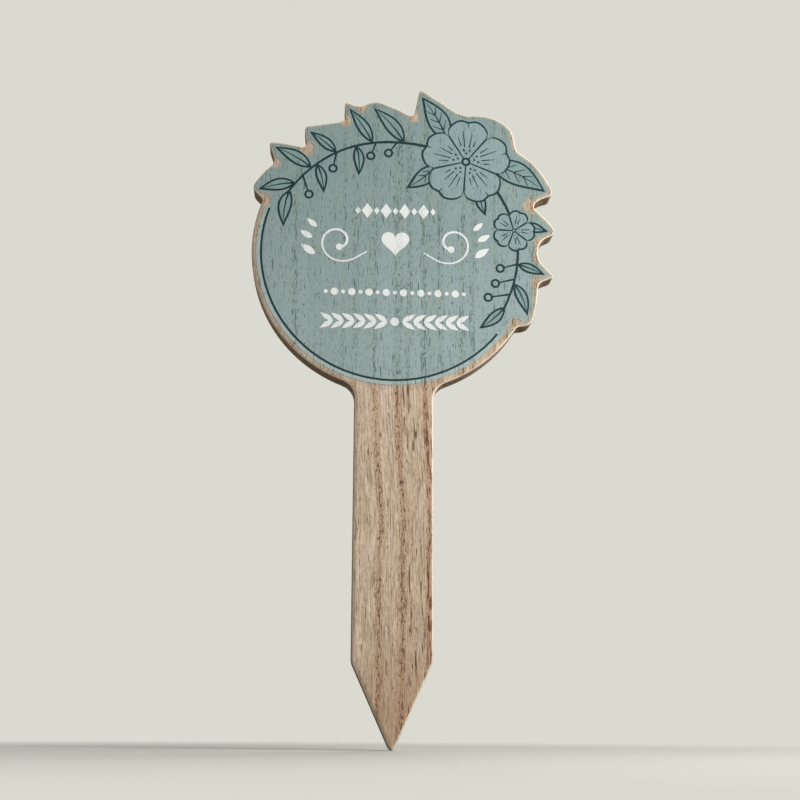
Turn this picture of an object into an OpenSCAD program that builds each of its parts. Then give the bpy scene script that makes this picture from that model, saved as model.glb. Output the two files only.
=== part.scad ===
// Garden stake: one flat board with a round head cut to a contour of leaf tips and petals,
// a straight stem and a point, and a print in thin films of ink on the head's front face.
// The point's end is the origin, the stem runs up along Z and the printed face looks along -Y.

/* [Board] */
// Height of the head's centre above the point's end
head_height = 220; // [180:1:280]
// Diameter of the head's round part
head_d = 130; // [100:1:160]
// Thickness of the board
board_t = 11; // [8:0.5:16]
// Width of the stem
stem_w = 35; // [26:1:48]
// Length of the pointed end
point_l = 36.5; // [24:0.5:60]
// Radius of the fillets between head and stem
neck_r = 8.5; // [4:0.5:14]
// Distance over which the contour's corners are rounded
corner_cut = 2.4; // [1.8:0.1:3]
// Distance over which the shoulders are rounded
shoulder_cut = 1.6; // [1:0.1:3]
// Distance over which the point's end is rounded
point_cut = 4.2; // [2.4:0.1:6]
// Radius of the eased edges
ease_r = 0.8; // [0.3:0.1:1]

/* [Print] */
// Bare wood left round the coat on the head's round part
rim_margin = 2.6; // [1:0.1:4]
// Bare wood left round the coat along the leaf tips and petals
spray_margin = 1.5; // [0.8:0.1:2]
// How far the coat and the rim line lie off their place on the board, to the left
print_shift = 0.5; // [0:0.1:1]
// How far the coat along the leaf tips and petals lies off its place, upwards
print_rise = 0.4; // [0:0.1:1]
// Radius of the coat's own corners
coat_ease = 0.7; // [0.3:0.1:1.2]
// Radius of the bare wood round a notch of share 1
notch_r = 1.2; // [0.8:0.1:1.6]
// Thickness of the blue-green coat
coat_t = 0.15; // [0.1:0.01:0.3]
// Thickness of the fills, the lines and the white ornament
ink_t = 0.1; // [0.06:0.01:0.2]
// Width of the dark lines
line_w = 0.9; // [0.6:0.05:1.1]
// Width of the finest dark lines, such as side veins
fine_w = 0.6; // [0.4:0.05:0.7]
// Distance from the coat's edge to the rim line
rim_line_gap = 2.2; // [1:0.1:4]
// Width of the strokes of the white ornament
white_w = 1.3; // [0.8:0.1:1.8]

/* [Hidden] */

head_r = head_d / 2;
head_centre = [0, head_height];
coat_centre = head_centre - [print_shift, 0];
coat_r = head_r - rim_margin;

// Length of a step along a side of the contour, steps round a corner, degrees of a step round the disc,
// and steps over an eased edge
side_step = 2;
corner_steps = 6;
arc_step = 3;
ease_steps = 3;

// Corners of the spray's contour, clockwise: degrees from the top, reach, bulge of the side that follows
// as a share of its length, rounding, and the radius of the bare wood round a notch.
// Leaf tips and petals reach out, notches lie between them.
contour_shares = [
    [-68.8, 0.995, 0.00, 0.8, 2.7],   // notch under the first leaf
    [-66.2, 1.110, 0.05, 1.4, 0],     // first leaf tip
    [-52.8, 1.068, 0.00, 1.1, 1.9],
    [-48.4, 1.212, 0.03, 1.2, 0],     // second leaf tip
    [-39.6, 0.988, 0.00, 1.4, 2.7],
    [-35.2, 1.136, -0.01, 1.2, 0],    // third leaf tip
    [-20.2, 1.044, 0.00, 0.9, 2.3],
    [-18.1, 1.192, -0.03, 1.25, 0],   // fourth leaf tip
    [-12.8, 1.118, 0.02, 1.2, 2.3],
    [-7.4, 1.155, 0.02, 2.2, 0],      // back of the broad leaf
    [7.2, 1.030, 0.00, 1.2, 2.2],
    [7.8, 1.258, 0.00, 1.2, 0],       // top leaf tip
    [25.0, 1.145, 0.07, 2.2, 0],
    [36.6, 1.270, 0.10, 2.8, 0],      // great petal
    [43.8, 1.225, 0.03, 1.4, 0],
    [47.4, 1.162, 0.10, 1.4, 0],
    [68.6, 1.214, -0.12, 1.6, 0],     // right leaf tip
    [69.3, 1.036, 0.02, 1.1, 3.1],
    [81.9, 1.172, -0.06, 2.4, 0],     // side petal
    [84.5, 1.024, -0.04, 1.2, 1.9],
    [91.4, 1.006, -0.02, 1.1, 1.7],
    [97.9, 1.142, -0.02, 1.3, 0],     // small leaf tip
    [101.6, 1.026, 0.04, 1.0, 2.4],
    [118.6, 1.082, 0.02, 2.0, 0],     // last leaf
    [121.8, 0.995, 0.00, 0.9, 2.9]
];
last_corner = len(contour_shares) - 1;

function on_head(angle, reach) = head_centre + head_r * reach * [sin(angle), cos(angle)];
function bezier(a, b, c, t) = a * (1 - t) * (1 - t) + b * 2 * t * (1 - t) + c * t * t;
function unit(v) = v / norm(v);

// Points of the contour of the spray
function corner(i) = on_head(contour_shares[i][0], contour_shares[i][1]);
function side_length(i) = norm(corner(i + 1) - corner(i));
// A corner's rounding gives way where its sides are too short for it
side_share = 0.9;
function wanted_cut(i) = corner_cut * contour_shares[i][3];
function room(i) =
    i < 0 || i == last_corner ? 1 : side_share * side_length(i) / (wanted_cut(i) + wanted_cut(i + 1));
function cut_at(i) = wanted_cut(i) * min(1, room(i - 1), room(i));
function side_point(i, t) =
    let (a = corner(i), along = corner(i + 1) - a, out = [-along[1], along[0]])
    a + along * t + out * (4 * contour_shares[i][2] * t * (1 - t));
function side_start(i) = cut_at(i) / side_length(i);
function side_end(i) = 1 - cut_at(i + 1) / side_length(i);
function cut_angle(i) = cut_at(i) / head_r * 180 / PI;
function before_corner(i) =
    i == 0 ? on_head(contour_shares[0][0] - cut_angle(0), 1) : side_point(i - 1, side_end(i - 1));
function after_corner(i) =
    i == last_corner ? on_head(contour_shares[i][0] + cut_angle(i), 1) : side_point(i, side_start(i));
function rounded(a, b, c) = [for (j = [0:corner_steps]) bezier(a, b, c, j / corner_steps)];
function side_points(i) =
    let (free = side_end(i) - side_start(i), steps = ceil(free * side_length(i) / side_step))
    [for (j = [1:1:steps - 1]) side_point(i, side_start(i) + free * j / steps)];
function spray_contour() = [
    for (i = [0:last_corner])
        each concat(
            rounded(before_corner(i), corner(i), after_corner(i)),
            i == last_corner ? [] : side_points(i)
        )
];

// Fillet between the disc and the stem: its centre touches both
neck_x = stem_w / 2 + neck_r;
neck_z = -sqrt(pow(head_r + neck_r, 2) - pow(neck_x, 2));
neck_angle = atan2(neck_x, neck_z);
neck_turn = atan2(-neck_z, -neck_x);
function disc_arc(from, to) =
    let (n = ceil(abs(to - from) / arc_step))
    [for (j = [1:n - 1]) on_head(from + (to - from) * j / n, 1)];
function neck_arc() = [
    for (j = [0:corner_steps])
        let (turn = neck_turn + (180 - neck_turn) * j / corner_steps)
        head_centre + [neck_x, neck_z] + neck_r * [cos(turn), sin(turn)]
];
function reversed(list) = [for (j = [len(list) - 1:-1:0]) list[j]];
function mirrored(list) = [for (p = list) [-p[0], p[1]]];

// Stem and point, from the right shoulder to the left one. The point's sides would meet just below
// the origin, so that its rounded end lies at the origin.
shoulder = [stem_w / 2, point_l];
point_end = [0, -point_cut / 2 * point_l / norm(shoulder)];
function turned_corner(before, at, after, cut) =
    rounded(at + unit(before - at) * cut, at, at + unit(after - at) * cut);
function stem_end() = concat(
    turned_corner([stem_w / 2, head_height], shoulder, point_end, shoulder_cut),
    turned_corner(shoulder, point_end, mirrored([shoulder])[0], point_cut),
    turned_corner(point_end, mirrored([shoulder])[0], [-stem_w / 2, head_height], shoulder_cut)
);

// The whole outline, clockwise as seen from the front
head_outline = concat(
    disc_arc(-neck_angle, contour_shares[0][0] - cut_angle(0)),
    spray_contour(),
    disc_arc(contour_shares[last_corner][0] + cut_angle(last_corner), neck_angle)
);
outline = concat(reversed(mirrored(neck_arc())), head_outline, neck_arc(), stem_end());
count = len(outline);
function outward(i) =
    let (along = unit(outline[(i + 1) % count] - outline[(i + count - 1) % count]))
    [-along[1], along[0]];
outward_list = [for (i = [0:count - 1]) outward(i)];

// The eased edge is no rounder than the tightest tip of the outline has room for
ease_limit_share = 0.92;
function turn_radius(i) =
    let (
        before = outline[i] - outline[(i + count - 1) % count],
        after = outline[(i + 1) % count] - outline[i],
        turn = asin(-cross(unit(before), unit(after))) * PI / 180
    )
    turn > 0 ? (norm(before) + norm(after)) / 2 / turn : head_r;
least_radius = min([for (i = [0:count - 1]) turn_radius(i)]);
ease = min(ease_r, least_radius * ease_limit_share);

// Rings from the front face over the eased edges to the back face: how far in, and how deep
ease_rings = [
    for (j = [0:ease_steps])
        let (turn = 90 * j / ease_steps)
        ease * [1 - sin(turn), 1 - cos(turn)]
];
rings = concat(
    ease_rings,
    [for (r = reversed(ease_rings)) [r[0], board_t - r[1]]]
);

// A flat face of the board: triangles from a point that has the head's whole outline in sight, and below
// them a strip of quadrilaterals between the two sides of the neck, the stem and the point
sight_shares = [12, 0.28];
sight_point = on_head(sight_shares[0], sight_shares[1]);
left_neck = corner_steps;
right_neck = left_neck + len(head_outline) + 1;
half_count = (count - right_neck + left_neck) / 2;
function left_of(j) = (left_neck - j + count) % count;
function flat_face(first, sight) = concat(
    [for (i = [left_neck:right_neck - 1]) [sight, first + i, first + i + 1]],
    [[sight, first + right_neck, first + left_neck]],
    [
        for (j = [0:half_count - 2])
            [first + left_of(j), first + right_neck + j, first + right_neck + j + 1, first + left_of(j + 1)]
    ],
    [[first + left_of(half_count - 1), first + right_neck + half_count - 1, first + right_neck + half_count]]
);
module board() {
    points = concat(
        [
            for (r = rings)
                for (i = [0:count - 1])
                    let (p = outline[i] - outward_list[i] * r[0])
                    [p[0], r[1] - board_t / 2, p[1]]
        ],
        [for (y = [-board_t / 2, board_t / 2]) [sight_point[0], y, sight_point[1]]]
    );
    walls = [
        for (j = [0:len(rings) - 2])
            for (i = [0:count - 1])
                let (k = (i + 1) % count)
                [j * count + i, (j + 1) * count + i, (j + 1) * count + k, j * count + k]
    ];
    front = flat_face(0, len(rings) * count);
    back = [for (face = flat_face((len(rings) - 1) * count, len(rings) * count + 1)) reversed(face)];
    color("burlywood") polyhedron(points = points, faces = concat(front, walls, back));
}

// A film of ink on the front face, from one height above the wood to another
module film(base, thickness) {
    translate([0, -board_t / 2 - base, 0])
        rotate([90, 0, 0])
            linear_extrude(thickness) children();
}

// The coat reaches to the disc's margin, and past it up to the contour's own margin along the spray,
// where the print lies a little off to the left and upwards. It stays on the flat face, inside the eased
// edge, and leaves more of the wood bare round the notches.
wedge_share = 1.4;
module wedge() {
    rim = [
        for (a = [contour_shares[0][0]:arc_step:contour_shares[last_corner][0]]) on_head(a, wedge_share)
    ];
    polygon(concat([head_centre], rim));
}
module bare_notches() {
    for (i = [0:last_corner])
        if (contour_shares[i][4] > 0)
            translate(corner(i)) circle(r = notch_r * contour_shares[i][4], $fn = 40);
}
module coat_area() {
    offset(r = coat_ease, $fn = 24)
        offset(r = -coat_ease, $fn = 24)
            difference() {
                intersection() {
                    translate([-print_shift, print_rise]) offset(r = -spray_margin, $fn = 24) polygon(outline);
                    offset(r = -ease, $fn = 24) polygon(outline);
                    union() {
                        translate(coat_centre) circle(r = coat_r, $fn = 180);
                        wedge();
                    }
                }
                bare_notches();
            }
}
module colour_field() {
    color("cadetblue") film(0, coat_t) coat_area();
}

// Everything in the drawing is placed from the head's centre
module from_head() {
    translate(head_centre) children();
}
// What is drawn near the contour ends at the coat's edge
module on_coat() {
    intersection() {
        from_head() children();
        coat_area();
    }
}
function polar(angle, reach) = head_r * reach * [sin(angle), cos(angle)];
function place(shares) = polar(shares[0], shares[1]);

// A curve between two points that leans on a third, and a band that tapers along a path
curve_steps = 14;
function curve_point(shares, t) = bezier(place(shares[0]), place(shares[1]), place(shares[2]), t);
function curve(shares) = [for (j = [0:curve_steps]) curve_point(shares, j / curve_steps)];
function across(path, j) =
    let (last = len(path) - 1, along = unit(path[min(j + 1, last)] - path[max(j - 1, 0)]))
    [-along[1], along[0]];
function band(path, from_w, to_w) =
    let (last = len(path) - 1, half = [for (j = [0:last]) (from_w + (to_w - from_w) * j / last) / 2])
    concat(
        [for (j = [0:last]) path[j] + across(path, j) * half[j]],
        [for (j = [last:-1:0]) path[j] - across(path, j) * half[j]]
    );

// A leaf is given by root, tip, breadth and bow, both as shares of its length, and its pairs of veins
leaf_steps = 10;
swell_share = 0.8;
root_inset_share = 1.5;
tip_inset_share = 2.2;
midrib_share = 0.86;
midrib_steps = 3;
vein_root_shares = [0.24, 0.40, 0.56];
vein_run_share = 0.15;
vein_reach_share = 0.66;
function leaf_point(leaf, t, side) =
    let (along = leaf[1] - leaf[0], out = [-along[1], along[0]])
    leaf[0] + along * t
        + out * (4 * leaf[3] * t * (1 - t) + side * leaf[2] / 2 * sin(180 * pow(t, swell_share)));
function leaf_outline(leaf) = [
    for (j = [0:leaf_steps]) leaf_point(leaf, j / leaf_steps, 1),
    for (j = [leaf_steps - 1:-1:1]) leaf_point(leaf, j / leaf_steps, -1)
];
function inner_leaf(leaf) =
    let (
        length = norm(leaf[1] - leaf[0]),
        from = root_inset_share * line_w / length,
        to = 1 - tip_inset_share * line_w / length,
        a = leaf_point(leaf, from, 0),
        b = leaf_point(leaf, to, 0)
    )
    [a, b, (leaf[2] * length - 2 * line_w) / norm(b - a), leaf[3] * (to - from)];

module leaf_drawing(leaf) {
    difference() {
        polygon(leaf_outline(leaf));
        polygon(leaf_outline(inner_leaf(leaf)));
    }
    midrib = [for (j = [0:midrib_steps]) leaf_point(leaf, midrib_share * j / midrib_steps, 0)];
    polygon(band(midrib, line_w, fine_w / 2));
    for (j = [0:1:leaf[4] - 1])
        for (side = [-1, 1]) {
            from = leaf_point(leaf, vein_root_shares[j], 0);
            to = leaf_point(leaf, vein_root_shares[j] + vein_run_share, side * vein_reach_share);
            polygon(band([from, to], fine_w, fine_w / 2));
        }
}

// The two branches. Leaves on a branch: how far along it, then angle and reach of the tip, breadth, bow
// and pairs of veins. Berries: how far along it, then angle and reach.
left_branch_shares = [[24, 0.84], [-22, 1.05], [-62, 0.87]];
left_leaf_shares = [
    [0.97, -78, 0.80, 0.36, -0.06, 0],
    [0.92, -65.6, 1.060, 0.36, -0.04, 0],
    [0.79, -48.4, 1.145, 0.34, -0.04, 0],
    [0.61, -34.7, 1.076, 0.34, -0.03, 0],
    [0.38, -17.4, 1.122, 0.30, -0.03, 0],
    [0.20, -8.5, 1.092, 0.32, -0.05, 0],
    [0.75, -50, 0.66, 0.36, 0.05, 0],
    [0.48, -25, 0.62, 0.36, 0.05, 0]
];
left_berry_shares = [
    [0.86, -56, 0.735],
    [0.61, -36, 0.755],
    [0.36, -14, 0.735],
    [0.24, -4, 0.740]
];
right_branch_shares = [[50, 0.86], [84, 1.02], [119, 0.86]];
right_leaf_shares = [
    [0.66, 97.8, 1.062, 0.36, 0.02, 0],
    [0.80, 115.7, 1.028, 0.34, 0.06, 0],
    [0.97, 133, 0.80, 0.36, 0.05, 0]
];
right_berry_shares = [[0.66, 98, 0.745], [0.77, 107, 0.735], [0.88, 116, 0.725]];
// Leaves that come out from behind a blossom: angle and reach of root and tip, breadth, bow, pairs of veins
free_leaf_shares = [
    [24, 0.92, 8.9, 1.190, 0.42, -0.04, 3],
    [45, 0.95, 66, 1.165, 0.42, 0.07, 3],
    [76, 0.93, 80.7, 1.095, 0.42, 0, 0],
    [24, 0.72, 9, 0.48, 0.44, 0.05, 2],
    [52, 0.75, 66, 0.70, 0.42, -0.04, 0]
];
// Sizes of the berries and the stalks, as shares of the head's radius or of the line's width
berry_share = 0.026;
branch_swell_share = 1.4;
function branch_leaf(branch, row) =
    [curve_point(branch, row[0]), polar(row[1], row[2]), row[3], row[4], row[5]];
function free_leaf(row) = [polar(row[0], row[1]), polar(row[2], row[3]), row[4], row[5], row[6]];
left_leaves = [for (row = left_leaf_shares) branch_leaf(left_branch_shares, row)];
right_leaves = [for (row = right_leaf_shares) branch_leaf(right_branch_shares, row)];
free_leaves = [for (row = free_leaf_shares) free_leaf(row)];

module berries(branch, rows) {
    for (row = rows) {
        centre = polar(row[1], row[2]);
        from = curve_point(branch, row[0]);
        near = centre + unit(from - centre) * (berry_share * head_r);
        polygon(band([from, near], line_w, fine_w));
        translate(centre)
            difference() {
                circle(r = berry_share * head_r + line_w / 2, $fn = 24);
                circle(r = berry_share * head_r - line_w / 2, $fn = 24);
            }
    }
}
module branch_drawing(branch, leaves, berry_rows) {
    polygon(band(curve(branch), line_w * branch_swell_share, line_w));
    for (leaf = leaves) leaf_drawing(leaf);
    berries(branch, berry_rows);
}

// Blossoms: angle and reach of the centre, radius as a share of the head's, turn, and number of creases
// on a petal. Each has five petals with a shallow dip in the middle of the edge.
blossom_shares = [
    [36, 0.850, 0.330, 4, 4],
    [78, 0.855, 0.160, 20, 2]
];
petals = 5;
petal_step = 4.5;
valley_share = 0.70;
dip_share = 0.07;
dip_angle = 7;
// Creases of a petal: degrees from its middle, and where they start and end
crease_shares = [[-8, 0.34, 0.72], [8, 0.34, 0.64], [-20, 0.38, 0.60], [20, 0.38, 0.54]];
// The short fold in the middle of a petal's edge
fold_shares = [0.80, 0.91];
// The lines between the petals start under the eye's ring and end inside the outline's line
separator_share = 0.08;
function separator_end_share(r) = valley_share - line_w / (2 * r);
eye_share = 0.10;
eye_hole_share = 0.05;
// Stamens on a petal: degrees from its middle and how far out their dots lie, and the dots' radius
stamen_shares = [[-14, 0.27], [0, 0.19], [14, 0.27]];
stamen_dot_share = 0.024;
function blossom_radius(row) = head_r * row[2];
// Angle from the middle of the nearest petal, and the edge there as a share of the blossom's radius
function from_middle(angle) = angle - round(angle / 360 * petals) * 360 / petals;
function petal_edge(angle) =
    let (off = from_middle(angle))
    valley_share + (1 - valley_share) * sqrt(max(0, cos(off * petals / 2)))
        - dip_share * exp(-pow(off / dip_angle, 2));
function blossom_outline(r, inset) = [
    for (angle = [0:petal_step:360 - petal_step]) (r * petal_edge(angle) - inset) * [sin(angle), cos(angle)]
];
module ray(r, angle, from_share, to_share, from_w, to_w) {
    along = r * [sin(angle), cos(angle)];
    polygon(band([along * from_share, along * to_share], from_w, to_w));
}
module at_blossom(row) {
    translate(polar(row[0], row[1])) rotate(-row[3]) children();
}
module blossom_areas() {
    for (row = blossom_shares) at_blossom(row) polygon(blossom_outline(blossom_radius(row), 0));
}
module blossom_insides() {
    for (row = blossom_shares) at_blossom(row) polygon(blossom_outline(blossom_radius(row), line_w));
}
module blossom_drawing() {
    for (row = blossom_shares) {
        r = blossom_radius(row);
        at_blossom(row) {
            difference() {
                polygon(blossom_outline(r, 0));
                polygon(blossom_outline(r, line_w));
            }
            for (i = [0:petals - 1]) {
                middle = 360 / petals * i;
                ray(r, middle + 180 / petals, separator_share, separator_end_share(r), fine_w, line_w);
                ray(r, middle, fold_shares[0], fold_shares[1], fine_w / 2, fine_w);
                for (j = [0:row[4] - 1]) {
                    crease = crease_shares[j];
                    ray(r, middle + crease[0], crease[1], crease[2], fine_w, fine_w / 2);
                }
                for (stamen = stamen_shares)
                    translate(r * stamen[1] * [sin(middle + stamen[0]), cos(middle + stamen[0])])
                        circle(r = r * stamen_dot_share, $fn = 16);
            }
            difference() {
                circle(r = r * eye_share, $fn = 30);
                circle(r = r * eye_hole_share, $fn = 24);
            }
        }
    }
}

module behind_blossoms() {
    difference() {
        children();
        blossom_areas();
    }
}
module left_spray_drawing() {
    behind_blossoms() branch_drawing(left_branch_shares, left_leaves, left_berry_shares);
}
module right_spray_drawing() {
    behind_blossoms() {
        branch_drawing(right_branch_shares, right_leaves, right_berry_shares);
        for (leaf = free_leaves) leaf_drawing(leaf);
    }
}

module leaf_tint() {
    color("mediumaquamarine")
        film(coat_t, ink_t)
            on_coat()
                difference() {
                    for (leaf = concat(left_leaves, right_leaves, free_leaves))
                        polygon(leaf_outline(inner_leaf(leaf)));
                    left_spray_drawing();
                    right_spray_drawing();
                    blossom_areas();
                }
}

module petal_tint() {
    color("lightsteelblue")
        film(coat_t, ink_t)
            on_coat()
                difference() {
                    blossom_insides();
                    blossom_drawing();
                }
}

rim_line_ends = [129, 289];
rim_line_step = 4;
module rim_line() {
    r = coat_r - rim_line_gap;
    path = [for (a = [rim_line_ends[0]:rim_line_step:rim_line_ends[1]]) r * [sin(a), cos(a)]];
    color("darkslategray")
        film(coat_t, ink_t)
            translate(coat_centre) polygon(band(path, line_w, line_w));
}

module left_spray_line() {
    color("darkslategray") film(coat_t, ink_t) on_coat() left_spray_drawing();
}

module blossom_line() {
    color("darkslategray") film(coat_t, ink_t) on_coat() blossom_drawing();
}

module right_spray_line() {
    color("darkslategray") film(coat_t, ink_t) on_coat() right_spray_drawing();
}

// The white ornament lies in four rows. Heights and reaches are shares of the head's radius.
row_shares = [0.30, 0.07, -0.30, -0.51];
diamonds = 9;
diamond_pitch_share = 0.066;
diamond_shares = [0.040, 0.056];
small_diamond_shares = [0.020, 0.028];
module white_diamonds() {
    color("white")
        film(coat_t, ink_t)
            from_head()
                for (i = [0:diamonds - 1]) {
                    half = head_r * (i % 2 == 0 ? small_diamond_shares : diamond_shares);
                    x = head_r * diamond_pitch_share * (i - (diamonds - 1) / 2);
                    translate([x, head_r * row_shares[0]])
                        polygon([[half[0], 0], [0, half[1]], [-half[0], 0], [0, -half[1]]]);
                }
}

scroll_centre_share = 0.40;
scroll_shares = [0.215, 0.045];
scroll_angles = [200, 620];
scroll_step = 15;
scroll_eye_share = 0.024;
heart_share = 0.0062;
spray_drop_shares = [[0.56, -0.10, 0.66, -0.03], [0.58, 0.02, 0.67, 0.07], [0.55, 0.10, 0.62, 0.16]];
drop_breadth_share = 0.42;
function scroll_point(angle) =
    let (
        t = (angle - scroll_angles[0]) / (scroll_angles[1] - scroll_angles[0]),
        r = head_r * (scroll_shares[0] + (scroll_shares[1] - scroll_shares[0]) * sqrt(t))
    )
    [head_r * scroll_centre_share, 0] + r * [cos(angle), sin(angle)];
function heart_point(a) =
    head_r * heart_share * [16 * pow(sin(a), 3), 13 * cos(a) - 5 * cos(2 * a) - 2 * cos(3 * a) - cos(4 * a)];
module white_scroll() {
    scroll = [for (angle = [scroll_angles[0]:scroll_step:scroll_angles[1]]) scroll_point(angle)];
    color("white")
        film(coat_t, ink_t)
            from_head()
                translate([0, head_r * row_shares[1]]) {
                    polygon([for (a = [0:12:348]) heart_point(a)]);
                    for (side = [0, 1])
                        mirror([side, 0]) {
                            polygon(band(scroll, white_w / 2, white_w));
                            translate(scroll_point(scroll_angles[1]))
                                circle(r = head_r * scroll_eye_share, $fn = 24);
                            for (d = spray_drop_shares)
                                polygon(leaf_outline([
                                    head_r * [d[0], d[1]], head_r * [d[2], d[3]], drop_breadth_share, 0, 0
                                ]));
                        }
                }
}

beads = 17;
bead_pitch_share = 0.060;
bead_shares = [0.014, 0.026];
module white_beads() {
    color("white")
        film(coat_t, ink_t)
            from_head()
                for (i = [0:beads - 1])
                    translate(head_r * [bead_pitch_share * (i - (beads - 1) / 2), row_shares[2]])
                        circle(r = head_r * bead_shares[i % 2], $fn = 24);
}

laurel_pairs = 6;
laurel_pitch_share = 0.075;
laurel_leaf_shares = [0.090, 0.055];
laurel_breadth_share = 0.34;
laurel_eye_share = 0.030;
laurel_start_share = 0.052;
module white_laurel() {
    color("white")
        film(coat_t, ink_t)
            from_head()
                translate([0, head_r * row_shares[3]]) {
                    circle(r = head_r * laurel_eye_share, $fn = 24);
                    for (side = [0, 1])
                        mirror([side, 0])
                            for (i = [0:laurel_pairs - 1])
                                for (up = [-1, 1]) {
                                    root = head_r * [laurel_start_share + laurel_pitch_share * i, 0];
                                    tip = root + head_r * [laurel_leaf_shares[0], up * laurel_leaf_shares[1]];
                                    polygon(leaf_outline([root, tip, laurel_breadth_share, 0, 0]));
                                }
                }
}

board();
colour_field();
leaf_tint();
petal_tint();
rim_line();
left_spray_line();
blossom_line();
right_spray_line();
white_diamonds();
white_scroll();
white_beads();
white_laurel();
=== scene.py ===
# Wooden garden stake with a printed head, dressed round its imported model.
# Metres, in the model's own frame: the origin is the end of the point, Z runs up the stem
# to the head, and the print looks along -Y.
from math import cos, radians, sin

import bpy
from mathutils import Euler, Matrix, Vector


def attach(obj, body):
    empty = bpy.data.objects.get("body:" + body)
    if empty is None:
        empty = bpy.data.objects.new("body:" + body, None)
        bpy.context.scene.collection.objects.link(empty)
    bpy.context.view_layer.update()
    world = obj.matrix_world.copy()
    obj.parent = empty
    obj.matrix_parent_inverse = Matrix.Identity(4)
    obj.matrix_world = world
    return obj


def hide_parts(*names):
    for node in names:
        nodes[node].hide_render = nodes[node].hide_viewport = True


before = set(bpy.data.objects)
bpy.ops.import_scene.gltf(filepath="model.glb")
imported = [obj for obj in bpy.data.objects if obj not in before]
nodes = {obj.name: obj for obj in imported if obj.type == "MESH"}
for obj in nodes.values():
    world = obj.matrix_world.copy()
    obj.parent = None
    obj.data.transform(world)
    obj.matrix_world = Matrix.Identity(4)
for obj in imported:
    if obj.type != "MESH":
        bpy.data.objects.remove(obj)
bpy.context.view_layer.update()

MM = 0.001

# Colours as they are seen on the object, in sRGB from 0 to 255
WOOD_PALE = (225, 205, 181)
WOOD_GREY = (190, 168, 148)
WOOD_WARM = (194, 163, 134)
WOOD_LINE = (140, 112, 90)
WOOD_BAND = (167, 127, 94)
WOOD_PORE = (86, 54, 29)
# Sawn walls: their own browner grain, darkened further by painted shade
WOOD_SAWN_AND_SHADE = (125, 94, 50)
# Eased edges: paler by wear, and paler still by a painted highlight
WOOD_EASED_WEAR_AND_HIGHLIGHT = (242, 226, 204)
WOOD_OLIVE = (196, 177, 138)
COAT = (146, 164, 164)
COAT_PALE = (161, 178, 179)
COAT_SHADE = (124, 144, 140)
# Painted shade on the coat towards the top
COAT_TOP_SHADE = (112, 132, 129)
COAT_RIM = (166, 184, 180)
COAT_MIST = (158, 168, 154)
COAT_OLIVE = (148, 160, 146)
COAT_BAND = (128, 142, 128)
COAT_PORE = (60, 80, 76)
LEAF = (126, 150, 147)
LEAF_WORN = (136, 159, 155)
PETAL = (136, 157, 156)
PETAL_WORN = (147, 167, 165)
LINE = (6, 40, 43)
LINE_WORN = (16, 54, 57)
WHITE = (230, 232, 228)
WHITE_WORN = (219, 223, 219)
BACKGROUND = (219, 218, 209)
FLOOR = (202, 201, 192)
# What the floor throws back on the object is darker than the floor that the camera sees
FLOOR_BOUNCE = (104, 100, 92)

# The board's outline
HEAD_CENTRE = (0.0, 0.0, 0.220)
HEAD_RADIUS = 65 * MM
STEM_HALF = 17.5 * MM
POINT_LENGTH = 36.5 * MM
# How far below the point's rounded end its two sides would meet
POINT_DROP = 1.9 * MM
# How softly the disc's edge runs into the stem's, as the fillets at the neck do
NECK_SOFTNESS = 10.4 * MM
# Distance in from the edge over which the faces are sanded rounder, and how deep
SANDED_WIDTH = 1.9 * MM
SANDED_DEPTH = 0.30 * MM

# The coat's outline
COAT_CENTRE = (-0.0005, 0.0, 0.220)
COAT_RADIUS = 62.4 * MM
# The way from the coat's centre to the middle of its round part, and the cosines of the angle
# from that way between which the spray turns into the round part
ROUND_WAY = (-0.485, 0.0, -0.875)
ROUND_STEP = (0.10, 0.20)
# Notches of the spray's contour: degrees from the top, reach as a share of the head's radius,
# and the radius of the bare wood there
NOTCHES = [
    (-68.8, 0.995, 3.24 * MM),
    (-52.8, 1.068, 2.28 * MM),
    (-39.6, 0.988, 3.24 * MM),
    (-20.2, 1.044, 2.76 * MM),
    (-12.8, 1.118, 2.76 * MM),
    (7.2, 1.030, 2.64 * MM),
    (69.3, 1.036, 3.72 * MM),
    (84.5, 1.024, 2.28 * MM),
    (91.4, 1.006, 2.04 * MM),
    (101.6, 1.026, 2.88 * MM),
    (121.8, 0.995, 3.48 * MM),
]
# The noise that makes the edge of that bare wood irregular: scales, detail and roughness,
# and its whole swing as a share of the radius
NOTCH_NOISE = ((900, 900, 700), 2.0, 0.6)
NOTCH_SWING = 0.9


def linear(rgb):
    """A colour in sRGB from 0 to 255 as Blender's linear colour, by the curve of the sRGB standard"""
    shares = [channel / 255 for channel in rgb]
    channels = [s / 12.92 if s <= 0.04045 else ((s + 0.055) / 1.055) ** 2.4 for s in shares]
    return (*channels, 1.0)


# Small helpers for wiring nodes


def add(tree, kind, sockets=None, **settings):
    """A node with its settings, whose sockets get values or are wired to other sockets"""
    node = tree.nodes.new(kind)
    for name, value in settings.items():
        setattr(node, name, value)
    for key, value in (sockets or {}).items():
        if isinstance(value, bpy.types.NodeSocket):
            tree.links.new(value, node.inputs[key])
        else:
            node.inputs[key].default_value = value
    return node


def maths(tree, operation, first, second=0.0, third=0.0, clamp=False):
    """One step of arithmetic with up to three numbers"""
    sockets = {0: first, 1: second, 2: third}
    return add(tree, "ShaderNodeMath", sockets, operation=operation, use_clamp=clamp).outputs[0]


def times(tree, first, second):
    """The product of two numbers"""
    return maths(tree, "MULTIPLY", first, second)


def without(tree, value):
    """What a share leaves of 1"""
    return maths(tree, "SUBTRACT", 1.0, value)


def combined(tree, operation, sockets):
    """The MAXIMUM or the MINIMUM of several numbers"""
    first, *others = sockets
    for other in others:
        first = maths(tree, operation, first, other)
    return first


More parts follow.
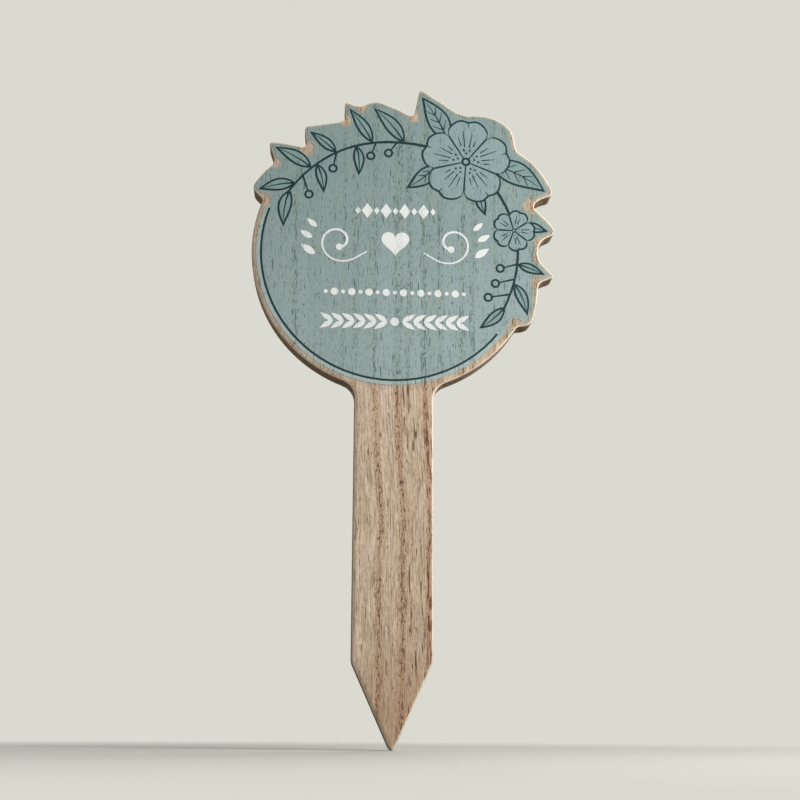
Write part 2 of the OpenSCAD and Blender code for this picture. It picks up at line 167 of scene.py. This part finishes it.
def vectors(tree, operation, first, second=(0.0, 0.0, 0.0)):
    """A vector, or the number that a length, a distance or a dot product gives"""
    node = add(tree, "ShaderNodeVectorMath", {0: first, 1: second}, operation=operation)
    is_number = operation in ("LENGTH", "DISTANCE", "DOT_PRODUCT")
    return node.outputs["Value" if is_number else "Vector"]


def blend(tree, factor, first, second):
    """Two colours mixed by a factor; each is a socket or an sRGB colour"""
    first, second = [
        c if isinstance(c, bpy.types.NodeSocket) else linear(c) for c in (first, second)
    ]
    # A Mix node has its colours at sockets 6 and 7, and gives the mixed one at 2
    node = add(tree, "ShaderNodeMix", {"Factor": factor, 6: first, 7: second}, data_type="RGBA")
    return node.outputs[2]


def ramp(tree, value, low, high, to_low=0.0, to_high=1.0):
    """A smooth step: to_low where the value is low, and to_high where it is high"""
    node = add(
        tree,
        "ShaderNodeMapRange",
        {"Value": value, "From Min": low, "From Max": high, "To Min": to_low, "To Max": to_high},
        interpolation_type="SMOOTHSTEP",
    )
    return node.outputs["Result"]


def noise(tree, place, scales, detail=1.0, roughness=0.5):
    """Noise from 0 to 1, stretched by the three scales, in features per metre"""
    stretched = vectors(tree, "MULTIPLY", place, scales)
    node = add(
        tree,
        "ShaderNodeTexNoise",
        {"Vector": stretched, "Scale": 1.0, "Detail": detail, "Roughness": roughness},
    )
    return node.outputs[0]


def swing(tree, place, scales, detail=1.0, roughness=0.5):
    """The same noise from -0.5 to 0.5"""
    return maths(tree, "SUBTRACT", noise(tree, place, scales, detail, roughness), 0.5)


def patchy(tree, place, scales, detail, low, high):
    """The same noise as patches: 0 where it is low and 1 where it is high"""
    return ramp(tree, noise(tree, place, scales, detail), low, high)


def new_group(name):
    """A node group that takes a place"""
    tree = bpy.data.node_groups.new(name, "ShaderNodeTree")
    tree.interface.new_socket("Place", in_out="INPUT", socket_type="NodeSocketVector")
    return tree, tree.nodes.new("NodeGroupInput").outputs["Place"]


def give(tree, found):
    """Makes the numbers that a group has found its outputs"""
    for name in found:
        tree.interface.new_socket(name, in_out="OUTPUT", socket_type="NodeSocketFloat")
    out = tree.nodes.new("NodeGroupOutput")
    for name, socket in found.items():
        tree.links.new(socket, out.inputs[name])


def at_place(tree, group):
    """What a group finds at each place of the object"""
    place = tree.nodes.new("ShaderNodeTexCoord").outputs["Object"]
    return add(tree, "ShaderNodeGroup", {"Place": place}, node_tree=group).outputs


# The grain, shared by the bare wood and the print on it, so that the pores run on through both.
# Noises have their scales across, through and along the board.

# The grain moves to the left between these heights, by this much
LEAN_HEIGHTS = (80 * MM, 175 * MM)
LEAN = 2.8 * MM
# It wavers slowly and ripples finely: the scales of each, and its whole swing
WAVER_SCALES = (20, 20, 14)
WAVER = 4 * MM
RIPPLE_SCALES = (120, 120, 32)
RIPPLE = 1 * MM
# How far the growth rings move across on their way through the board, as a share of the depth
RING_SLANT = 0.35

# Three growth bands run through the stem. They are laid out this far to both sides of its middle,
# as places from 0 on the left to 1 on the right, and the depth of the band at each.
STEM_REACH = 20 * MM
STEM_BANDS = [
    (0.0, 0.0),
    (0.24, 0.0),
    (0.30, 0.75),
    (0.36, 0.0),
    (0.49, 0.0),
    (0.55, 0.8),
    (0.61, 0.1),
    (0.80, 0.0),
    (0.85, 1.0),
    (0.91, 0.3),
    (1.0, 0.0),
]
# Irregular bands fill the head: bands per metre, the noise's step that makes them, their depth
RING_SCALE = 210.0
RING_STEP = (0.47, 0.63)
RING_DEPTH = 0.85
# They start this far from the middle, or above these heights, and are weaker on the far left
RINGS_BESIDE = (18 * MM, 23 * MM)
RINGS_ABOVE = (150 * MM, 165 * MM)
FAR_LEFT = (-58 * MM, -40 * MM)
FAR_LEFT_SHARE = 0.45

# The stem's pores become fewer between these heights, down to this share in the head
FEWER_PORES_HEIGHTS = (150 * MM, 175 * MM)
HEAD_PORE_SHARE = 0.30
# Between these places across the stem, its dots give way to dashes
DASHES_BEGIN = (2 * MM, 8 * MM)
# Kinds of pores: their area, the scales of their noise, the height at which it makes a pore
# outside that area, how much lower that height is inside, and the softness of a pore's sides
PORE_KINDS = [
    ("all bands", (2700, 2700, 600), 0.69, 0.115, 0.05),
    ("all bands", (2400, 2400, 240), 0.71, 0.125, 0.05),
    ("stem's left", (1450, 1450, 400), 0.70, 0.175, 0.04),
    ("stem's right", (1300, 1300, 130), 0.70, 0.175, 0.04),
    ("right of the stem's middle", (1000, 1000, 75), 0.75, 0.10, 0.04),
]

# Streaks are fine threads along the grain with a mottle across them: scales, detail and
# roughness of the threads, the mottle's scales, the share of each, and the step of their sum
THREADS = ((1700, 1700, 60), 3.0, 0.65)
THREAD_SHARE = 0.7
MOTTLE_SCALES = (900, 900, 500)
MOTTLE_SHARE = 0.3
STREAK_STEP = (0.34, 0.66)

# Patches: scales, detail, and the noise's step
PORE_CLUSTERS = ((230, 230, 60), 1.0, 0.25, 0.50)
SPECKS = ((2300, 2300, 300), 1.0, 0.52, 0.62)
THIN_LINES = ((2000, 2000, 90), 2.0, 0.50, 0.61)
LINE_CLUSTERS = ((260, 260, 34), 1.0, 0.26, 0.52)
BROAD_TONE = ((90, 90, 7), 2.0, 0.30, 0.70)
OLIVE_PATCHES = ((170, 170, 55), 2.0, 0.38, 0.64)


def grain_places(tree, place):
    """How far across a place lies in the growth rings, its place in the grain, and its height"""
    x, y, z = add(tree, "ShaderNodeSeparateXYZ", {0: place}).outputs
    across = maths(tree, "ADD", x, ramp(tree, z, *LEAN_HEIGHTS, to_high=LEAN))
    across = maths(tree, "MULTIPLY_ADD", swing(tree, place, WAVER_SCALES), WAVER, across)
    across = maths(tree, "MULTIPLY_ADD", swing(tree, place, RIPPLE_SCALES), RIPPLE, across)
    slanted = maths(tree, "MULTIPLY_ADD", y, RING_SLANT, across)
    along = add(tree, "ShaderNodeCombineXYZ", {0: across, 1: y, 2: z}).outputs[0]
    return slanted, along, z


def growth_bands(tree, slanted, height):
    """The stem's own bands, and all bands together"""
    over_stem = maths(tree, "DIVIDE", maths(tree, "ADD", slanted, STEM_REACH), 2 * STEM_REACH)
    stem = add(tree, "ShaderNodeValToRGB", {0: over_stem})
    elements = stem.color_ramp.elements
    for i, (at, depth) in enumerate(STEM_BANDS):
        # A new colour ramp has its first two elements already
        element = elements[i] if i < 2 else elements.new(at)
        element.position = at
        element.color = (depth, depth, depth, 1.0)
    stem.color_ramp.interpolation = "EASE"

    sockets = {"W": slanted, "Scale": RING_SCALE, "Detail": 1.0}
    ring = add(tree, "ShaderNodeTexNoise", sockets, noise_dimensions="1D").outputs[0]
    beside = ramp(tree, maths(tree, "ABSOLUTE", slanted), *RINGS_BESIDE)
    beyond = maths(tree, "MAXIMUM", beside, ramp(tree, height, *RINGS_ABOVE))
    rings = times(tree, ramp(tree, ring, *RING_STEP, to_high=RING_DEPTH), beyond)
    rings = times(tree, rings, ramp(tree, slanted, *FAR_LEFT, to_low=FAR_LEFT_SHARE))
    return stem.outputs[0], maths(tree, "MAXIMUM", stem.outputs[0], rings)


def pore_field(tree, along, area, scales, least, gain, softness):
    """Peaks of a stretched noise, more of them inside an area"""
    threshold = maths(tree, "SUBTRACT", least, times(tree, area, gain))
    above = maths(tree, "SUBTRACT", noise(tree, along, scales), threshold)
    return maths(tree, "DIVIDE", above, softness, clamp=True)


def grain_pores(tree, slanted, along, height, stem_bands, all_bands):
    """Coarse dots and, to the right, long dashes in the stem's bands, and fine pores in all bands"""
    cluster = patchy(tree, along, *PORE_CLUSTERS)
    fewer = ramp(tree, height, *FEWER_PORES_HEIGHTS, to_low=1.0, to_high=HEAD_PORE_SHARE)
    in_stem = times(tree, times(tree, stem_bands, cluster), fewer)
    to_right = ramp(tree, slanted, *DASHES_BEGIN)
    areas = {
        "all bands": times(tree, all_bands, cluster),
        "stem's left": times(tree, in_stem, without(tree, to_right)),
        "stem's right": times(tree, in_stem, to_right),
        "right of the stem's middle": times(tree, to_right, fewer),
    }
    fields = [pore_field(tree, along, areas[area], *kind) for area, *kind in PORE_KINDS]
    return combined(tree, "MAXIMUM", fields)


def grain_streaks(tree, along):
    """Fine threads along the grain, with a mottle across them"""
    threads = times(tree, noise(tree, along, *THREADS), THREAD_SHARE)
    mottle = times(tree, noise(tree, along, MOTTLE_SCALES), MOTTLE_SHARE)
    return ramp(tree, maths(tree, "ADD", threads, mottle), *STREAK_STEP)


def grain_group():
    """The parts of the grain, each from 0 to 1"""
    tree, place = new_group("wood_grain")
    slanted, along, height = grain_places(tree, place)
    stem_bands, all_bands = growth_bands(tree, slanted, height)
    thin_lines = patchy(tree, along, *THIN_LINES)
    found = {
        "Bands": all_bands,
        "Pores": grain_pores(tree, slanted, along, height, stem_bands, all_bands),
        "Specks": patchy(tree, along, *SPECKS),
        "Streaks": grain_streaks(tree, along),
        "Lines": times(tree, thin_lines, patchy(tree, along, *LINE_CLUSTERS)),
        "Tone": patchy(tree, along, *BROAD_TONE),
        "Patches": patchy(tree, along, *OLIVE_PATCHES),
    }
    give(tree, found)
    return tree


GRAIN = grain_group()


# The edges, shared by the wood and the coat: the coat thins out, and tints the wood beside it


def inside_outline(tree, flat, x, z):
    """Distance in from the outline of the disc, the stem and the point"""
    beside = maths(tree, "ABSOLUTE", x)
    in_stem = maths(tree, "SUBTRACT", STEM_HALF, beside)
    slope = Vector((POINT_LENGTH + POINT_DROP, STEM_HALF)).normalized()
    above_point = times(tree, maths(tree, "ADD", z, POINT_DROP), slope.y)
    in_point = maths(tree, "MULTIPLY_ADD", beside, -slope.x, above_point)
    in_disc = maths(tree, "SUBTRACT", HEAD_RADIUS, vectors(tree, "DISTANCE", flat, HEAD_CENTRE))
    in_either = maths(tree, "MINIMUM", in_stem, in_point)
    return maths(tree, "SMOOTH_MAX", in_disc, in_either, NECK_SOFTNESS)


def nearest_notch(tree, flat, place):
    """Distance to the nearest notch, as a share of the radius of the bare wood there"""
    shares = []
    for angle, reach, radius in NOTCHES:
        turn = radians(angle)
        way = Vector((sin(turn), 0.0, cos(turn)))
        notch = Vector(HEAD_CENTRE) + way * reach * HEAD_RADIUS
        shares.append(maths(tree, "DIVIDE", vectors(tree, "DISTANCE", flat, notch), radius))
    nearest = combined(tree, "MINIMUM", shares)
    return maths(tree, "MULTIPLY_ADD", swing(tree, place, *NOTCH_NOISE), NOTCH_SWING, nearest)


def edges_group():
    """Where a place lies: Inside is its distance in from the board's outline, Reach that from the
    coat's centre, and Notch that to the nearest notch, as a share of the bare wood's radius there.
    Round is 1 on the side of the round part and 0 along the spray, and Height is its height."""
    tree, place = new_group("board_edges")
    flat = vectors(tree, "MULTIPLY", place, (1.0, 0.0, 1.0))
    x, _, z = add(tree, "ShaderNodeSeparateXYZ", {0: flat}).outputs
    from_centre = vectors(tree, "SUBTRACT", flat, COAT_CENTRE)
    turned = vectors(tree, "DOT_PRODUCT", vectors(tree, "NORMALIZE", from_centre), ROUND_WAY)
    found = {
        "Inside": inside_outline(tree, flat, x, z),
        "Reach": vectors(tree, "LENGTH", from_centre),
        "Round": ramp(tree, turned, *ROUND_STEP),
        "Height": z,
        "Notch": nearest_notch(tree, flat, place),
    }
    give(tree, found)
    return tree


EDGES = edges_group()


# What the materials share. A relief is given by its strength and its depth.

# How high the threads stand, as a share of the depth of the pores
THREAD_HEIGHT = 0.3


def new_material(name):
    """A new material, its tree and its shader"""
    material = bpy.data.materials.new(name)
    material.use_nodes = True
    tree = material.node_tree
    return material, tree, tree.nodes["Principled BSDF"]


def layered(tree, base, grain, layers):
    """Colours laid on a base in turn, each along one part of the grain and with its own share"""
    for part, share, colour in layers:
        base = blend(tree, times(tree, grain[part], share), base, colour)
    return base


def grain_relief(tree, shader, grain, strength, depth, under=None):
    """Threads stand up a little and pores are sunk, on top of the relief under them if any"""
    height = maths(tree, "SUBTRACT", times(tree, grain["Streaks"], THREAD_HEIGHT), grain["Pores"])
    sockets = {"Height": height, "Strength": strength, "Distance": depth}
    if under:
        sockets["Normal"] = under
    bump = add(tree, "ShaderNodeBump", sockets)
    tree.links.new(bump.outputs[0], shader.inputs["Normal"])


def matt(shader, roughness, specular):
    """Sets how dull a surface is, the same all over it"""
    shader.inputs["Roughness"].default_value = roughness
    shader.inputs["Specular IOR Level"].default_value = specular


# Bare wood

# The sanded face: the threads' two colours, then the layers on them, as part, share and colour
FACE_THREADS = (WOOD_GREY, WOOD_PALE)
FACE_LAYERS = [
    ("Patches", 0.36, WOOD_OLIVE),
    ("Tone", 0.30, WOOD_WARM),
    ("Lines", 0.62, WOOD_LINE),
    ("Specks", 0.26, WOOD_PORE),
    ("Bands", 0.65, WOOD_BAND),
]
# Painted shade: the point turns darker and browner on the way down between these heights
POINT_HEIGHTS = (48 * MM, 20 * MM)
POINT_SHADE_SHARE = 0.36
# The front is browner along the spray than below it
SPRAY_BROWN = 0.30
# The coat's mist on the wood: between these radii outside the round part, and from the middle
# of a notch outwards, as shares of the bare wood's radius there
MIST_RADII = (COAT_RADIUS + 1.3 * MM, COAT_RADIUS)
MIST_SHARE = 0.50
NOTCH_MIST = (0.18, 1.00)
NOTCH_MIST_SHARE = 0.62
# The front is where the normal's Y is near -1
FRONT_STEP = (-0.80, -0.98)
# Without its sign, the normal's Y is near 0 on a sawn wall and 1 on a face, and an eased edge
# lies between the two
SAWN_STEP = (0.35, 0.10)
# The walls' colour is partly their browner sawn grain and partly painted shade
SAWN_AND_SHADE_SHARE = 0.88
EASED_FROM_WALL = (0.08, 0.28)
EASED_FROM_FACE = (0.995, 0.93)
# The eased edges' pale colour is partly wear and partly a painted highlight
EASED_WEAR_AND_HIGHLIGHT_SHARE = 0.80
# How far the pores show, and how much less they do on an eased edge
WOOD_PORE_SHARE = 0.85
EASED_PORE_LOSS = 0.55
# Roughness between the threads and on them
WOOD_ROUGHNESS = (0.62, 0.74)
WOOD_SPECULAR = 0.18
WOOD_RELIEF = (0.55, 0.25 * MM)


def face_colour(tree, grain):
    """The sanded face, without its pores"""
    return layered(tree, blend(tree, grain["Streaks"], *FACE_THREADS), grain, FACE_LAYERS)


def beside_coat(tree, face, edges, depth):
    """The front beside the coat: browner along the spray, with the coat's mist on it.
    The mist is a narrow ring outside the round part, and covers most of the wood along the spray"""
    front = ramp(tree, depth, *FRONT_STEP)
    in_spray = without(tree, edges["Round"])
    browner = times(tree, times(tree, in_spray, front), SPRAY_BROWN)
    face = blend(tree, browner, face, WOOD_BAND)
    ring = ramp(tree, edges["Reach"], *MIST_RADII, to_high=MIST_SHARE)
    from_notch = ramp(tree, edges["Notch"], *NOTCH_MIST, to_high=NOTCH_MIST_SHARE)
    ring_mist = times(tree, ring, edges["Round"])
    mist = maths(tree, "ADD", ring_mist, times(tree, in_spray, from_notch))
    return blend(tree, times(tree, mist, front), face, COAT_MIST)


def sanded_relief(tree, edges):
    """The faces fall off towards the edge of the disc's round part, the stem and the point"""
    fall = maths(tree, "SUBTRACT", ramp(tree, edges["Inside"], 0.0, SANDED_WIDTH), 1.0)
    height = times(tree, fall, edges["Round"])
    sockets = {"Height": height, "Strength": 1.0, "Distance": SANDED_DEPTH}
    return add(tree, "ShaderNodeBump", sockets).outputs[0]


def bare_wood():
    """Sanded faces, sawn walls browner with painted shade, eased edges paler with wear and a painted
    highlight
    """
    material, tree, shader = new_material("sanded_open_pored_wood")
    grain = at_place(tree, GRAIN)
    edges = at_place(tree, EDGES)
    normal = tree.nodes.new("ShaderNodeTexCoord").outputs["Normal"]
    _, depth, _ = add(tree, "ShaderNodeSeparateXYZ", {0: normal}).outputs
    facing = maths(tree, "ABSOLUTE", depth)

    colour = face_colour(tree, grain)
    # Painted shade: the wood darkens towards the end of the point
    point = ramp(tree, edges["Height"], *POINT_HEIGHTS, to_high=POINT_SHADE_SHARE)
    colour = blend(tree, point, colour, WOOD_BAND)
    colour = beside_coat(tree, colour, edges, depth)
    # Sawn walls: browner grain with painted shade
    sawn = ramp(tree, facing, *SAWN_STEP)
    colour = blend(tree, times(tree, sawn, SAWN_AND_SHADE_SHARE), colour, WOOD_SAWN_AND_SHADE)
    # Eased edges: pale wear with a painted highlight on it
    from_wall = ramp(tree, facing, *EASED_FROM_WALL)
    eased = times(tree, from_wall, ramp(tree, facing, *EASED_FROM_FACE))
    colour = blend(tree, times(tree, eased, EASED_WEAR_AND_HIGHLIGHT_SHARE), colour, WOOD_EASED_WEAR_AND_HIGHLIGHT)
    loss = times(tree, eased, EASED_PORE_LOSS)
    pore_share = maths(tree, "SUBTRACT", WOOD_PORE_SHARE, loss)
    colour = blend(tree, times(tree, grain["Pores"], pore_share), colour, WOOD_PORE)
    tree.links.new(colour, shader.inputs["Base Color"])

    rough = ramp(tree, grain["Streaks"], 0.0, 1.0, *WOOD_ROUGHNESS)
    tree.links.new(rough, shader.inputs["Roughness"])
    shader.inputs["Specular IOR Level"].default_value = WOOD_SPECULAR
    grain_relief(tree, shader, grain, *WOOD_RELIEF, sanded_relief(tree, edges))
    return material


# The coat

# How far the streaks show in it, and the layers on them, as part, share and colour
COAT_STREAKS = 0.35
COAT_LAYERS = [
    ("Tone", 0.35, COAT_SHADE),
    ("Patches", 0.22, COAT_OLIVE),
    ("Bands", 0.24, COAT_BAND),
    ("Specks", 0.22, COAT_PORE),
]
COAT_PORES = 0.78
# Painted shade: the coat is darker towards the top, between these heights
TOP_SHADE_HEIGHTS = (160 * MM, 290 * MM)
TOP_SHADE_SHARE = 0.56
# Radii at which the paler strip outside the rim line begins
RIM_RADII = (COAT_RADIUS - 2.3 * MM, COAT_RADIUS - 1.9 * MM)
RIM_SHARE = 0.7
# The wood shows through it this far at its thin edge, between these radii, and where it is worn,
# on the way in to a notch
THIN_RADII = (COAT_RADIUS - 0.7 * MM, COAT_RADIUS + 0.1 * MM)
THIN_SHARE = 0.45
NOTCH_WEAR = (1.40, 0.95)
NOTCH_WEAR_SHARE = 0.62
COAT_ROUGHNESS = 0.60
COAT_SPECULAR = 0.35
COAT_RELIEF = (0.40, 0.2 * MM)


def coat_ink():
    """The coat: painted shade darkens it towards the top; paler outside the rim line, thin at its
    edge and notches
    """
    material, tree, shader = new_material("blue_green_coat")
    grain = at_place(tree, GRAIN)
    edges = at_place(tree, EDGES)
    rim = times(tree, ramp(tree, edges["Reach"], *RIM_RADII), edges["Round"])
    thin = ramp(tree, edges["Reach"], *THIN_RADII, to_high=THIN_SHARE)
    thin = times(tree, thin, edges["Round"])
    worn = ramp(tree, edges["Notch"], *NOTCH_WEAR, to_high=NOTCH_WEAR_SHARE)

    base = blend(tree, times(tree, grain["Streaks"], COAT_STREAKS), COAT, COAT_PALE)
    # Painted shade: the coat darkens towards the top
    top_shade = ramp(tree, edges["Height"], *TOP_SHADE_HEIGHTS, to_high=TOP_SHADE_SHARE)
    base = blend(tree, top_shade, base, COAT_TOP_SHADE)
    base = layered(tree, base, grain, COAT_LAYERS)
    base = blend(tree, times(tree, rim, RIM_SHARE), base, COAT_RIM)
    wood = blend(tree, SPRAY_BROWN, face_colour(tree, grain), WOOD_BAND)
    base = blend(tree, maths(tree, "MAXIMUM", thin, worn), base, wood)
    base = blend(tree, times(tree, grain["Pores"], COAT_PORES), base, COAT_PORE)
    tree.links.new(base, shader.inputs["Base Color"])
    matt(shader, COAT_ROUGHNESS, COAT_SPECULAR)
    grain_relief(tree, shader, grain, *COAT_RELIEF)
    return material


# The inks on the coat

# Name, colour, worn colour, how far the pores and the streaks show, and the films of that ink
INKS = [
    ("leaf_ink", LEAF, LEAF_WORN, 0.55, 0.4, ["leaf_tint"]),
    ("petal_ink", PETAL, PETAL_WORN, 0.50, 0.4, ["petal_tint"]),
    (
        "dark_line_ink", LINE, LINE_WORN, 0.25, 0.4,
        ["rim_line", "left_spray_line", "blossom_line", "right_spray_line"],
    ),
    (
        "white_ornament_ink", WHITE, WHITE_WORN, 0.22, 0.5,
        ["white_diamonds", "white_scroll", "white_beads", "white_laurel"],
    ),
]
# How far the specks show beside the pores
SPECK_SHARE = 0.3
INK_ROUGHNESS = 0.62
INK_SPECULAR = 0.2
INK_RELIEF = (0.35, 0.2 * MM)


def ink(name, colour, worn_colour, shows_pores, shows_streaks):
    """A matt ink: its tone follows the wood's streaks a little, and the pores break through it"""
    material, tree, shader = new_material(name)
    grain = at_place(tree, GRAIN)
    base = blend(tree, times(tree, grain["Streaks"], shows_streaks), colour, worn_colour)
    layers = [
        ("Specks", shows_pores * SPECK_SHARE, COAT_PORE),
        ("Pores", shows_pores, COAT_PORE),
    ]
    tree.links.new(layered(tree, base, grain, layers), shader.inputs["Base Color"])
    matt(shader, INK_ROUGHNESS, INK_SPECULAR)
    grain_relief(tree, shader, grain, *INK_RELIEF)
    return material


def dress(names, material):
    """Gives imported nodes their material"""
    for name in names:
        for slot in nodes[name].material_slots:
            slot.material = material


# The board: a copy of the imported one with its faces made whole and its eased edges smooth

MERGE_DISTANCE = 0.002 * MM
# A face is flat where the normal's Y is nearly 1 or -1
FLAT_NORMAL = 0.9999
# Angle in radians up to which flat triangles are dissolved into one face
DISSOLVE_ANGLE = 0.001
# Weight of the largest faces, which are the flat ones, in the normals: 100 is the most there is
LARGE_FACE_WEIGHT = 100


def select_flat_faces(mesh):
    """Selects the front and the back, and nothing else"""
    bpy.ops.mesh.select_all(action="DESELECT")
    bpy.ops.object.mode_set(mode="OBJECT")
    for face in mesh.polygons:
        face.select = abs(face.normal.y) > FLAT_NORMAL
    bpy.ops.object.mode_set(mode="EDIT")


def sanded_board(packed):
    """The board in bare wood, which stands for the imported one"""
    bpy.ops.object.select_all(action="DESELECT")
    mesh = packed.data.copy()
    board = bpy.data.objects.new("sanded_board", mesh)
    bpy.context.scene.collection.objects.link(board)
    bpy.context.view_layer.objects.active = board
    board.select_set(True)
    bpy.ops.object.mode_set(mode="EDIT")
    bpy.ops.mesh.select_mode(type="FACE")
    bpy.ops.mesh.select_all(action="SELECT")
    bpy.ops.mesh.remove_doubles(threshold=MERGE_DISTANCE)
    select_flat_faces(mesh)
    bpy.ops.mesh.dissolve_limited(angle_limit=DISSOLVE_ANGLE)
    bpy.ops.object.mode_set(mode="OBJECT")
    bpy.ops.object.shade_smooth()
    weighted = board.modifiers.new("flat_faces_stay_flat", "WEIGHTED_NORMAL")
    weighted.mode = "FACE_AREA"
    weighted.weight = LARGE_FACE_WEIGHT
    bpy.ops.object.modifier_apply(modifier=weighted.name)
    mesh.materials.clear()
    mesh.materials.append(bare_wood())
    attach(board, "root")
    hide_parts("board")


sanded_board(nodes["board"])
dress(["colour_field"], coat_ink())
for *recipe, films in INKS:
    dress(films, ink(*recipe))


# Studio: a pale floor that fades into the pale background, soft light, the photograph's camera

FLOOR_RADIUS = 0.6
FLOOR_SIDES = 96
# Distances from its middle between which the floor fades
FLOOR_FADE = (0.08, 0.45)
FLOOR_ROUGHNESS = 0.9
FLOOR_SPECULAR = 0.0
WORLD_LIGHT = 0.20
# Lights: place, the point it looks at, side of the square, and watts
LIGHTS = [
    ("key_light", (0.70, -0.40, 0.46), (0.0, 0.0, 0.18), 0.40, 6.9),
    ("front_light", (0.28, -0.50, 0.25), (0.0, 0.0, 0.19), 0.3, 1.6),
    ("back_light", (0.35, 1.2, 0.6), (0.0, 0.0, 0.16), 0.9, 10.6),
]
# The camera fitted to the photograph: lens and sensor in millimetres, its place,
# and its turn about X, Y and Z in degrees
CAMERA_LENS = 62.72
CAMERA_SENSOR = 36.0
CAMERA_CLIP = 10 * MM
CAMERA_PLACE = Vector((-31.22, -605.92, 9.04)) * MM
CAMERA_TURN = (103.2681, -0.3425, -3.3064)


def seen_rays(tree):
    """1 for what is seen straight, in a reflection or through glass, and 0 for light on things"""
    path = tree.nodes.new("ShaderNodeLightPath").outputs
    rays = ("Is Camera Ray", "Is Glossy Ray", "Is Transmission Ray")
    return combined(tree, "MAXIMUM", [path[ray] for ray in rays])


def mixed_shaders(tree, factor, first, second):
    """Two shaders mixed by a factor"""
    return add(tree, "ShaderNodeMixShader", {0: factor, 1: first, 2: second}).outputs[0]


def studio_floor():
    """A round floor at the end of the point, clear towards its edge"""
    bpy.ops.object.select_all(action="DESELECT")
    bpy.ops.mesh.primitive_circle_add(
        vertices=FLOOR_SIDES, radius=FLOOR_RADIUS, fill_type="NGON", location=(0, 0, 0)
    )
    floor = bpy.context.object
    floor.name = "studio_floor"
    material, tree, shader = new_material("pale_floor")
    tree.links.new(blend(tree, seen_rays(tree), FLOOR_BOUNCE, FLOOR), shader.inputs["Base Color"])
    matt(shader, FLOOR_ROUGHNESS, FLOOR_SPECULAR)
    place = tree.nodes.new("ShaderNodeTexCoord").outputs["Object"]
    fade = ramp(tree, vectors(tree, "LENGTH", place), *FLOOR_FADE)
    clear = tree.nodes.new("ShaderNodeBsdfTransparent").outputs[0]
    surface = mixed_shaders(tree, fade, shader.outputs[0], clear)
    tree.links.new(surface, tree.nodes["Material Output"].inputs["Surface"])
    floor.data.materials.append(material)


def pale_world():
    """Even white light on things, and the pale background where it is seen"""
    world = bpy.data.worlds.new("pale_world")
    world.use_nodes = True
    bpy.context.scene.world = world
    tree = world.node_tree
    around = tree.nodes["Background"]
    around.inputs["Color"].default_value = (1.0, 1.0, 1.0, 1.0)
    around.inputs["Strength"].default_value = WORLD_LIGHT
    seen = add(tree, "ShaderNodeBackground", {"Color": linear(BACKGROUND), "Strength": 1.0})
    chosen = mixed_shaders(tree, seen_rays(tree), around.outputs[0], seen.outputs[0])
    tree.links.new(chosen, tree.nodes["World Output"].inputs["Surface"])


def soft_light(name, place, target, size, watts):
    """A square lamp that looks at a point"""
    lamp = bpy.data.lights.new(name, "AREA")
    lamp.shape = "SQUARE"
    lamp.size = size
    lamp.energy = watts
    lamp_object = bpy.data.objects.new(name, lamp)
    bpy.context.scene.collection.objects.link(lamp_object)
    way = Vector(target) - Vector(place)
    lamp_object.location = place
    lamp_object.rotation_euler = way.to_track_quat("-Z", "Y").to_euler()


def photograph_camera():
    """The camera where the photograph's stood, with its lens"""
    camera = bpy.data.cameras.new("photograph_camera")
    camera.lens = CAMERA_LENS
    camera.sensor_width = CAMERA_SENSOR
    camera.clip_start = CAMERA_CLIP
    camera_object = bpy.data.objects.new("photograph_camera", camera)
    bpy.context.scene.collection.objects.link(camera_object)
    turn = Euler([radians(angle) for angle in CAMERA_TURN])
    camera_object.matrix_world = Matrix.LocRotScale(CAMERA_PLACE, turn, None)
    bpy.context.scene.camera = camera_object


studio_floor()
pale_world()
for light in LIGHTS:
    soft_light(*light)
photograph_camera()
bpy.context.scene.view_settings.view_transform = "Standard"
